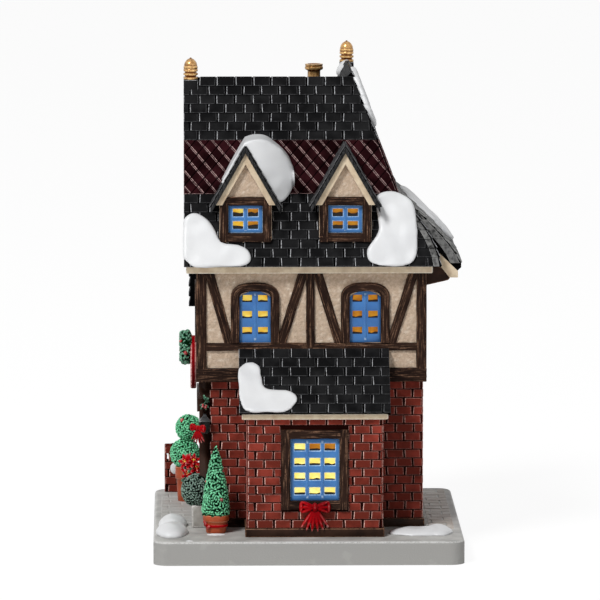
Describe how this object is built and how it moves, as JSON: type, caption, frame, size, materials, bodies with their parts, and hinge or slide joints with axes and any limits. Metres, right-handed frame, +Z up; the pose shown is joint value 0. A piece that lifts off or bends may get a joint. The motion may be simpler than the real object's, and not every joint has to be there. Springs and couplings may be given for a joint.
{
  "type": "ceramic christmas village house",
  "caption": "Lit ceramic village house: slated roofs with dormers and snow, half-timbered upper storey, brick lean-to shop and a battery light behind pierced windows",
  "frame": {"origin": "middle of the underside of the base slab", "axes": "+Z up; the long side with the lean-to faces -Y, the shop front faces -X"},
  "size_m": [0.128, 0.14, 0.206],
  "materials": {
    "pavement_grey": "matte painted, grey pavement with paler streaks",
    "brick_red": "matte painted brick relief, dry-brushed",
    "stucco_beige": "matte painted rough stucco",
    "timber_brown": "satin painted timber relief",
    "cream_trim": "satin painted trim",
    "window_blue": "satin painted window panel",
    "slate_black": "satin painted slates, dry-brushed grey",
    "snow_white": "glossy white glaze",
    "copper_gold": "metallic copper-gold paint",
    "ribbon_red": "satin red paint",
    "leaf_green": "matte green paint with paler tips",
    "box_green": "matte dark green paint with white flecks",
    "terracotta": "matte painted terracotta",
    "stone_grey": "matte painted stone",
    "iron_black": "satin black paint",
    "amber_film": "translucent amber window film, lit from inside",
    "tray_black": "fine matte moulded plastic",
    "knob_black": "fine matte moulded plastic",
    "spring_steel": "bright nickel-plated steel",
    "cell_wrap": "plain shrink wrap",
    "board_green": "circuit board lacquer",
    "lens_clear": "clear warm lamp lens",
    "wire_red": "thin insulated lead"
  },
  "bodies": {
    "house": {"base_slab": "pavement_grey", "ground_floor_walls": "brick_red", "lean_to_walls": "brick_red", "chimney_stack": "brick_red", "brick_pier": "brick_red", "upper_storey_walls": "stucco_beige", "front_gable_wall": "stucco_beige", "far_gable_wall": "stucco_beige", "near_timbers": "timber_brown", "front_timbers": "timber_brown", "rear_timbers": "timber_brown", "rear_eave_box": "timber_brown", "plinth_boards": "timber_brown", "window_surrounds": "timber_brown", "dormers": "stucco_beige", "shopfront": "timber_brown", "front_door": "timber_brown", "window_box": "timber_brown", "eave_cornices": "cream_trim", "bargeboards": "cream_trim", "house_windows": "window_blue", "lean_to_window": "window_blue", "dormer_windows": "window_blue", "shop_window": "window_blue", "window_films": "amber_film", "roof_shell": "slate_black", "lean_to_roof": "slate_black", "dormer_roofs": "slate_black", "gable_skirt": "slate_black", "finial_blocks": "slate_black", "roof_snow": "snow_white", "lean_to_snow": "snow_white", "ground_snow": "snow_white", "finials": "copper_gold", "chimney_pot": "copper_gold", "window_bow": "ribbon_red", "lantern_bow": "ribbon_red", "sign_board": "ribbon_red", "poinsettias": "ribbon_red", "wreath": "leaf_green", "cone_topiary": "leaf_green", "ball_topiary": "leaf_green", "box_ball": "box_green", "cone_pot": "terracotta", "ball_pot": "terracotta", "stone_planter": "stone_grey", "lantern": "iron_black", "battery_tray": "tray_black", "switch_body": "tray_black", "led_post": "tray_black", "contact_plates": "spring_steel", "contact_springs": "spring_steel", "battery_cells": "cell_wrap", "led_board": "board_green", "led_lens": "lens_clear", "lead_wires": "wire_red"},
    "cover": {"battery_cover": "tray_black", "cover_screw": "spring_steel"},
    "slider": {"switch_slider": "knob_black"}
  },
  "joints": [
    {"name": "cover_hinge", "type": "hinge", "parent": "house", "child": "cover", "pos_m": [0.0215, -0.0211, 0.0019], "axis": [-1, 0, 0], "range_deg": [0, 95]},
    {"name": "switch_slide", "type": "slide", "parent": "house", "child": "slider", "axis": [1, 0, 0], "range_m": [-0.003, 0]}
  ]
}
